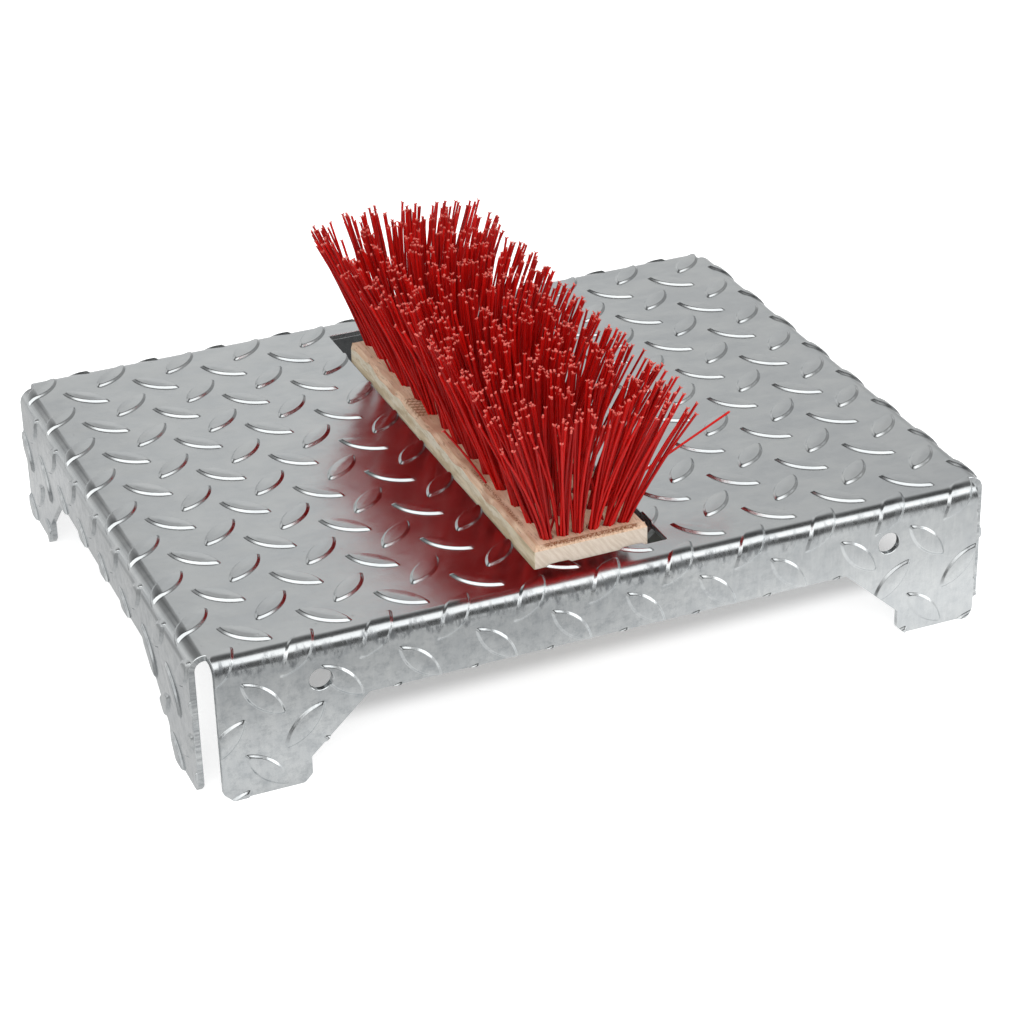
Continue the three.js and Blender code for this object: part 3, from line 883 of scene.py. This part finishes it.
class Brush:
    """Gathers the filaments of some tufts as one mesh, with how pale each point is."""

    def __init__(self):
        self.solid = Solid()
        self.looks = []

    def add(self, points, faces, look):
        self.solid.add(points, faces)
        self.looks.extend(look)

    def filament(self, base, tip, bow):
        """One bristle from its base to its tip, bowed a little, with its split end."""
        ahead = (tip - base) / np.linalg.norm(tip - base)
        side, other = around(ahead)
        turn = random.uniform(0, 2 * math.pi)
        turns = turn + np.arange(bristle_sides) * 2 * math.pi / bristle_sides
        spokes = np.cos(turns)[:, None] * side + np.sin(turns)[:, None] * other
        tone = random.random()
        points, looks, faces = [], [], []
        shares = [*np.linspace(0, last_ring_share, bristle_steps), 1]
        for share in shares:
            middle = base + (tip - base) * share + bow * 4 * share * (1 - share)
            points.extend(middle + bristle_radius * spokes)
            looks.extend([(share, tone, 0.0)] * bristle_sides)
        for ring in range(len(shares) - 1):
            for k in range(bristle_sides):
                low, n = ring * bristle_sides, (k + 1) % bristle_sides
                faces.append((low + k, low + n, low + n + bristle_sides, low + k + bristle_sides))
        last = (len(shares) - 1) * bristle_sides
        faces.append(tuple(last + k for k in range(bristle_sides)))
        faces.append(tuple(range(bristle_sides))[::-1])
        self.add(points, faces, looks)
        self.split(tip, ahead, side * math.cos(turn) + other * math.sin(turn), tone)

    def split(self, tip, ahead, side, tone):
        """The two flared halves that a cut end opens into."""
        other = np.cross(ahead, side)
        openness = random.uniform(*split_opening)
        for sign in (-1, 1):
            out = sign * side
            length = split_length * random.uniform(*split_length_shares)
            width = split_width * random.uniform(*split_width_shares)
            lean = unit(ahead + out * openness)
            start = tip + out * bristle_radius * split_apart - ahead * split_sunk
            end = start + lean * length
            thick = np.cross(lean, other)
            points = []
            for middle, half_width, half_thick in (
                (start, width, split_root),
                (end, width * split_taper, split_end),
            ):
                for a, b in ((-1, -1), (1, -1), (1, 1), (-1, 1)):
                    points.append(middle + other * a * half_width + thick * b * half_thick)
            self.add(points, box_faces, [(1.0, tone, 1.0)] * len(points))

    def made(self, name):
        piece = mesh_object(name, np.array(self.solid.points), self.solid.faces)
        piece.data.set_sharp_from_angle(angle=facet_angle)
        set_vectors(piece, "bristle", np.array(self.looks))
        return piece


def tuft(brush, place, share):
    """The filaments of one tuft, fanned as the tuft leans."""
    lean_along = share[1] * (1 - fan_end_share) + share[1] ** 3 * fan_end_share
    sway = tuft_sway * np.array([random.gauss(0, 1), random.gauss(0, 1)])
    tip_middle = place + fan_shift + sway + fan * np.array([share[0], lean_along])
    tip_pitch = tuft_pitch + np.array([2 * fan[0] / (tuft_columns - 1), 0])
    start_turn = random.uniform(0, 2 * math.pi)
    for k in range(bristles_per_tuft):
        reach = math.sqrt((k + 0.5) / bristles_per_tuft)
        turn = start_turn + k * golden_angle
        offset = reach * np.array([math.cos(turn), math.sin(turn)])
        base = place + offset * (tuft_hole_radius - bristle_radius)
        stray = np.array([random.gauss(0, 1), random.gauss(0, 1)])
        loose = end_looseness if share[1] == -1 else 1
        tip = tip_middle + (offset * tip_spread + stray * stray_share) * loose * tip_pitch
        length = bristle_length * random.uniform(shortest_share, 1) ** length_bias
        run = tip - base
        rise = math.sqrt(length**2 - run @ run)
        base_point = np.array([*base, board_high[2] - bristle_root])
        tip_point = np.array([*tip, board_high[2] + rise])
        bow = np.array([random.gauss(0, 1), random.gauss(0, 1), 0]) * bow_spread
        brush.filament(base_point, tip_point, bow - np.array([*run, 0]) * droop)


def bristle_finish():
    """Glossy red plastic, bruised pale at the cut ends."""
    finish = Finish("red bristles")
    share, tone, pale = finish.parts(finish.attribute("bristle"))
    fine = finish.noise(by_object(finish), 0.6)
    red = finish.mix(tone, bristle_deep, bristle_bright)
    bruise = (pale + share.step(last_ring_share, 1.0) * 0.3) * (0.75 + 0.4 * fine)
    colour = finish.mix(bruise.step(0.1, 0.95), red, bristle_bruised)
    roughness = 0.36 + 0.12 * fine
    return finish.surface(Base_Color=colour, Roughness=roughness, Specular_IOR_Level=0.3)


stray_bow = np.array([0.6, 0.3, 0.2]) * mm
strays = (
    ((-29.5, -76, 85.0), (-32.2, -30, 91.8)),
    ((15, -109, 81), (91.4, -90, 102.5)),
    ((2, -127, 81), (20.8, -140, 120.6)),
    ((8, -127, 81), (-14, -140, 146)),
    ((-15, -127, 81), (6, -146, 145)),
    ((-19, -127, 81), (-7.7, -140, 145.6)),
)
red_plastic = bristle_finish()
node_rows = {
    "bristles_front": (0, 4),
    "bristles_front_middle": (4, 7),
    "bristles_back_middle": (7, 10),
    "bristles_back": (10, 14),
}
places = list(tuft_places())
for node_name, (first_row, end_row) in node_rows.items():
    brush = Brush()
    for place, share in places[first_row * tuft_columns : end_row * tuft_columns]:
        tuft(brush, place, share)
    if node_name == "bristles_front":
        for base, tip in strays:
            brush.filament(np.array(base) * mm, np.array(tip) * mm, stray_bow)
    piece = brush.made(node_name + "_filaments")
    piece.data.materials.append(red_plastic)
    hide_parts(node_name)
    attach(piece, "root")


# Studio
# A pale floor under a large softbox and a front fill. What the zinc mirrors, a bright panel, pale
# walls with dark gaps between them and the floor, is shown to its mirrored rays only.
floor_reach = 4.0
floor_lit = (0.8, 0.8, 0.8, 1)
# Painted shadow colour for the floor deep under the plate.
floor_painted_shadow = (0.26, 0.26, 0.24, 1)
white = (1, 1, 1, 1)
black = (0, 0, 0, 1)
floor_mesh = bpy.data.meshes.new("floor")
floor_mesh.from_pydata(
    [(x * floor_reach, y * floor_reach, 0) for x, y in ((-1, -1), (1, -1), (1, 1), (-1, 1))],
    [],
    [(0, 1, 2, 3)],
)
floor = bpy.data.objects.new("floor", floor_mesh)
bpy.context.scene.collection.objects.link(floor)


def pale_floor():
    """White to the camera away from the part, with painted shadow under its edges and painted dark
    shade deep below it. The zinc mirrors a painted light on it, brighter close by, to the right and
    at the back, and darker further off."""
    finish = Finish("pale floor")
    is_camera = finish.node("LightPath", {}, {}, "Is Camera Ray")
    is_glossy = finish.node("LightPath", {}, {}, "Is Glossy Ray")
    x, y, _ = finish.parts(finish.node("TexCoord", {}, {}, 3))
    off_edge = (abs(x) - plate_length / 2).at_least(abs(y) - plate_depth / 2)
    off_near = (0 - x - plate_length / 2).at_least(0 - y - plate_depth / 2)
    off_far = (x - plate_length / 2).at_least(y - plate_depth / 2).step(0.0, 0.06)
    in_front = (0 - y).step(0.12, 0.2)
    mirrored = 0.34 + 0.17 * in_front + 0.21 * x.step(-0.02, 0.14) - 0.15 * off_edge.step(0.1, 0.8)
    mirrored = mirrored + (0.27 + 0.13 * in_front) * (1 - off_edge.step(0.0, 0.1))
    mirrored = mirrored + 0.27 * y.step(0.08, 0.3)
    # Painted shadow: the floor turns dark deep under the plate, and its light to the camera fades
    # under the front and left edges.
    clear_of_painted_shadow = off_near.step(-0.125, -0.09).at_least(off_far)
    shown = 0.34 * clear_of_painted_shadow + 0.41 * off_near.step(-0.055, -0.036).at_least(off_far)
    colour = finish.mix(is_glossy, finish.mix(clear_of_painted_shadow, floor_painted_shadow, floor_lit), black)
    # Painted light and painted reflection: the floor shines white to the camera away from the part,
    # and shines to the zinc's mirrored rays in a painted pattern.
    painted_floor_glow = is_camera * shown + is_glossy * mirrored * (0.12 + 0.88 * off_edge.step(-0.06, -0.01))
    return finish.surface(
        Base_Color=colour, Roughness=1.0, Emission_Color=white, Emission_Strength=painted_floor_glow
    )


floor.data.materials.append(pale_floor())


def soft_lamp(name, place, aim, width, depth, radiance):
    """A large soft lamp. The zinc mirrors the room's own ceiling and windows in its place."""
    lamp = bpy.data.lights.new(name, "AREA")
    lamp.shape = "RECTANGLE"
    lamp.size = width
    lamp.size_y = depth
    lamp.energy = radiance * math.pi * width * depth
    piece = bpy.data.objects.new(name, lamp)
    turn = (Vector(aim) - Vector(place)).to_track_quat("-Z", "Y").to_matrix().to_4x4()
    piece.matrix_world = Matrix.Translation(place) @ turn
    piece.visible_glossy = False
    bpy.context.scene.collection.objects.link(piece)


soft_lamp("overhead softbox", (0.1, -0.7, 1.5), (0.1, -0.7, 0), 3.6, 1.9, 1.1)
soft_lamp("front fill", (-0.75, -1.9, 1.1), (0, 0, 0.05), 1.6, 1.2, 2.2)


room_light = 0.5


def studio_room(world):
    """A plain level of light, in which the zinc mirrors a bright ceiling panel a little in front,
    windows to the left, front and right, and a darker ceiling, corners and sides."""
    room = Finish("studio room", world)
    x, y, z = room.parts(room.node("TexCoord", {}, {}, 0))
    behind_panel = (y + 0.053 * z - 0.44 * (0.352 * z - x).at_least(0)).step(-0.13, 0.07)
    panel = (1 - behind_panel) * (y + 0.92 * z).step(-0.16, 0.16) * z.step(0.03, 0.15)
    panel = panel * (1 - (x - 1.3 * z).step(-0.15, 0.15)) * x.step(-0.9, -0.78)
    window = (0 - x).step(0.5, 0.72) * y.step(-0.45, -0.15) * z.step(0.0, 0.15)
    low_window = x.step(0.78, 0.88) * (1 - y.step(0.0, 0.25)) * band(z, 0.03, 0.35, 0.08)
    dark_ceiling = (z - 0.28 * x).step(0.42, 0.78)
    dark_front = band(x, 0.05, 0.6, 0.25) * (0 - y).step(0.5, 0.75) * z.step(-0.02, 0.14)
    dark_right = (x - y).step(-0.35, 0.1) * y.step(-0.5, -0.2)
    dark_left = (1 - x.step(0.08, 0.22)) * z.step(0.1, 0.55) * y.step(0.4, 0.7)
    front_window = band(x, -0.5, -0.12, 0.15) * (0 - y).step(0.5, 0.7) * z.step(0.3, 0.5)
    dark_corner = (1 - x.step(-0.6, -0.45)) * (0 - y).step(0.4, 0.6) * (1 - z.step(0.15, 0.35))
    wall = (0.705 - 0.115 * x.step(0.25, 0.42)) * (1 - 0.85 * dark_ceiling)
    wall = wall * (1 - 0.8 * dark_corner) * (1 - 0.85 * dark_front)
    wall = wall * (1 - 0.5 * dark_right) * (1 - 0.6 * dark_left)
    mirrored = wall + 1.35 * panel + 0.2 * window + 1.5 * low_window + 0.9 * front_window
    is_camera = room.node("LightPath", {}, {}, "Is Camera Ray")
    is_glossy = room.node("LightPath", {}, {}, "Is Glossy Ray")
    strength = is_camera + is_glossy * mirrored + (1 - is_camera) * (1 - is_glossy) * room_light
    background = room.node("Background", {}, {"Color": white, "Strength": strength})
    room.node("OutputWorld", {}, {"Surface": background})


bpy.context.scene.world = bpy.data.worlds.new("studio room")
studio_room(bpy.context.scene.world)

camera_place = Vector((-0.4675, -1.1802, 0.71767))
camera_aim = Vector((0.013581, -0.002087, 0.022608))
camera_roll = math.radians(-1.5187)
camera_lens = 100.147
camera_sensor = 36
camera_data = bpy.data.cameras.new("camera")
camera_data.lens = camera_lens
camera_data.sensor_width = camera_sensor
camera = bpy.data.objects.new("camera", camera_data)
look = (camera_aim - camera_place).to_track_quat("-Z", "Y").to_matrix().to_4x4()
camera.matrix_world = Matrix.Translation(camera_place) @ look @ Matrix.Rotation(camera_roll, 4, "Z")
bpy.context.scene.collection.objects.link(camera)
bpy.context.scene.camera = camera
bpy.context.scene.view_settings.view_transform = "Standard"
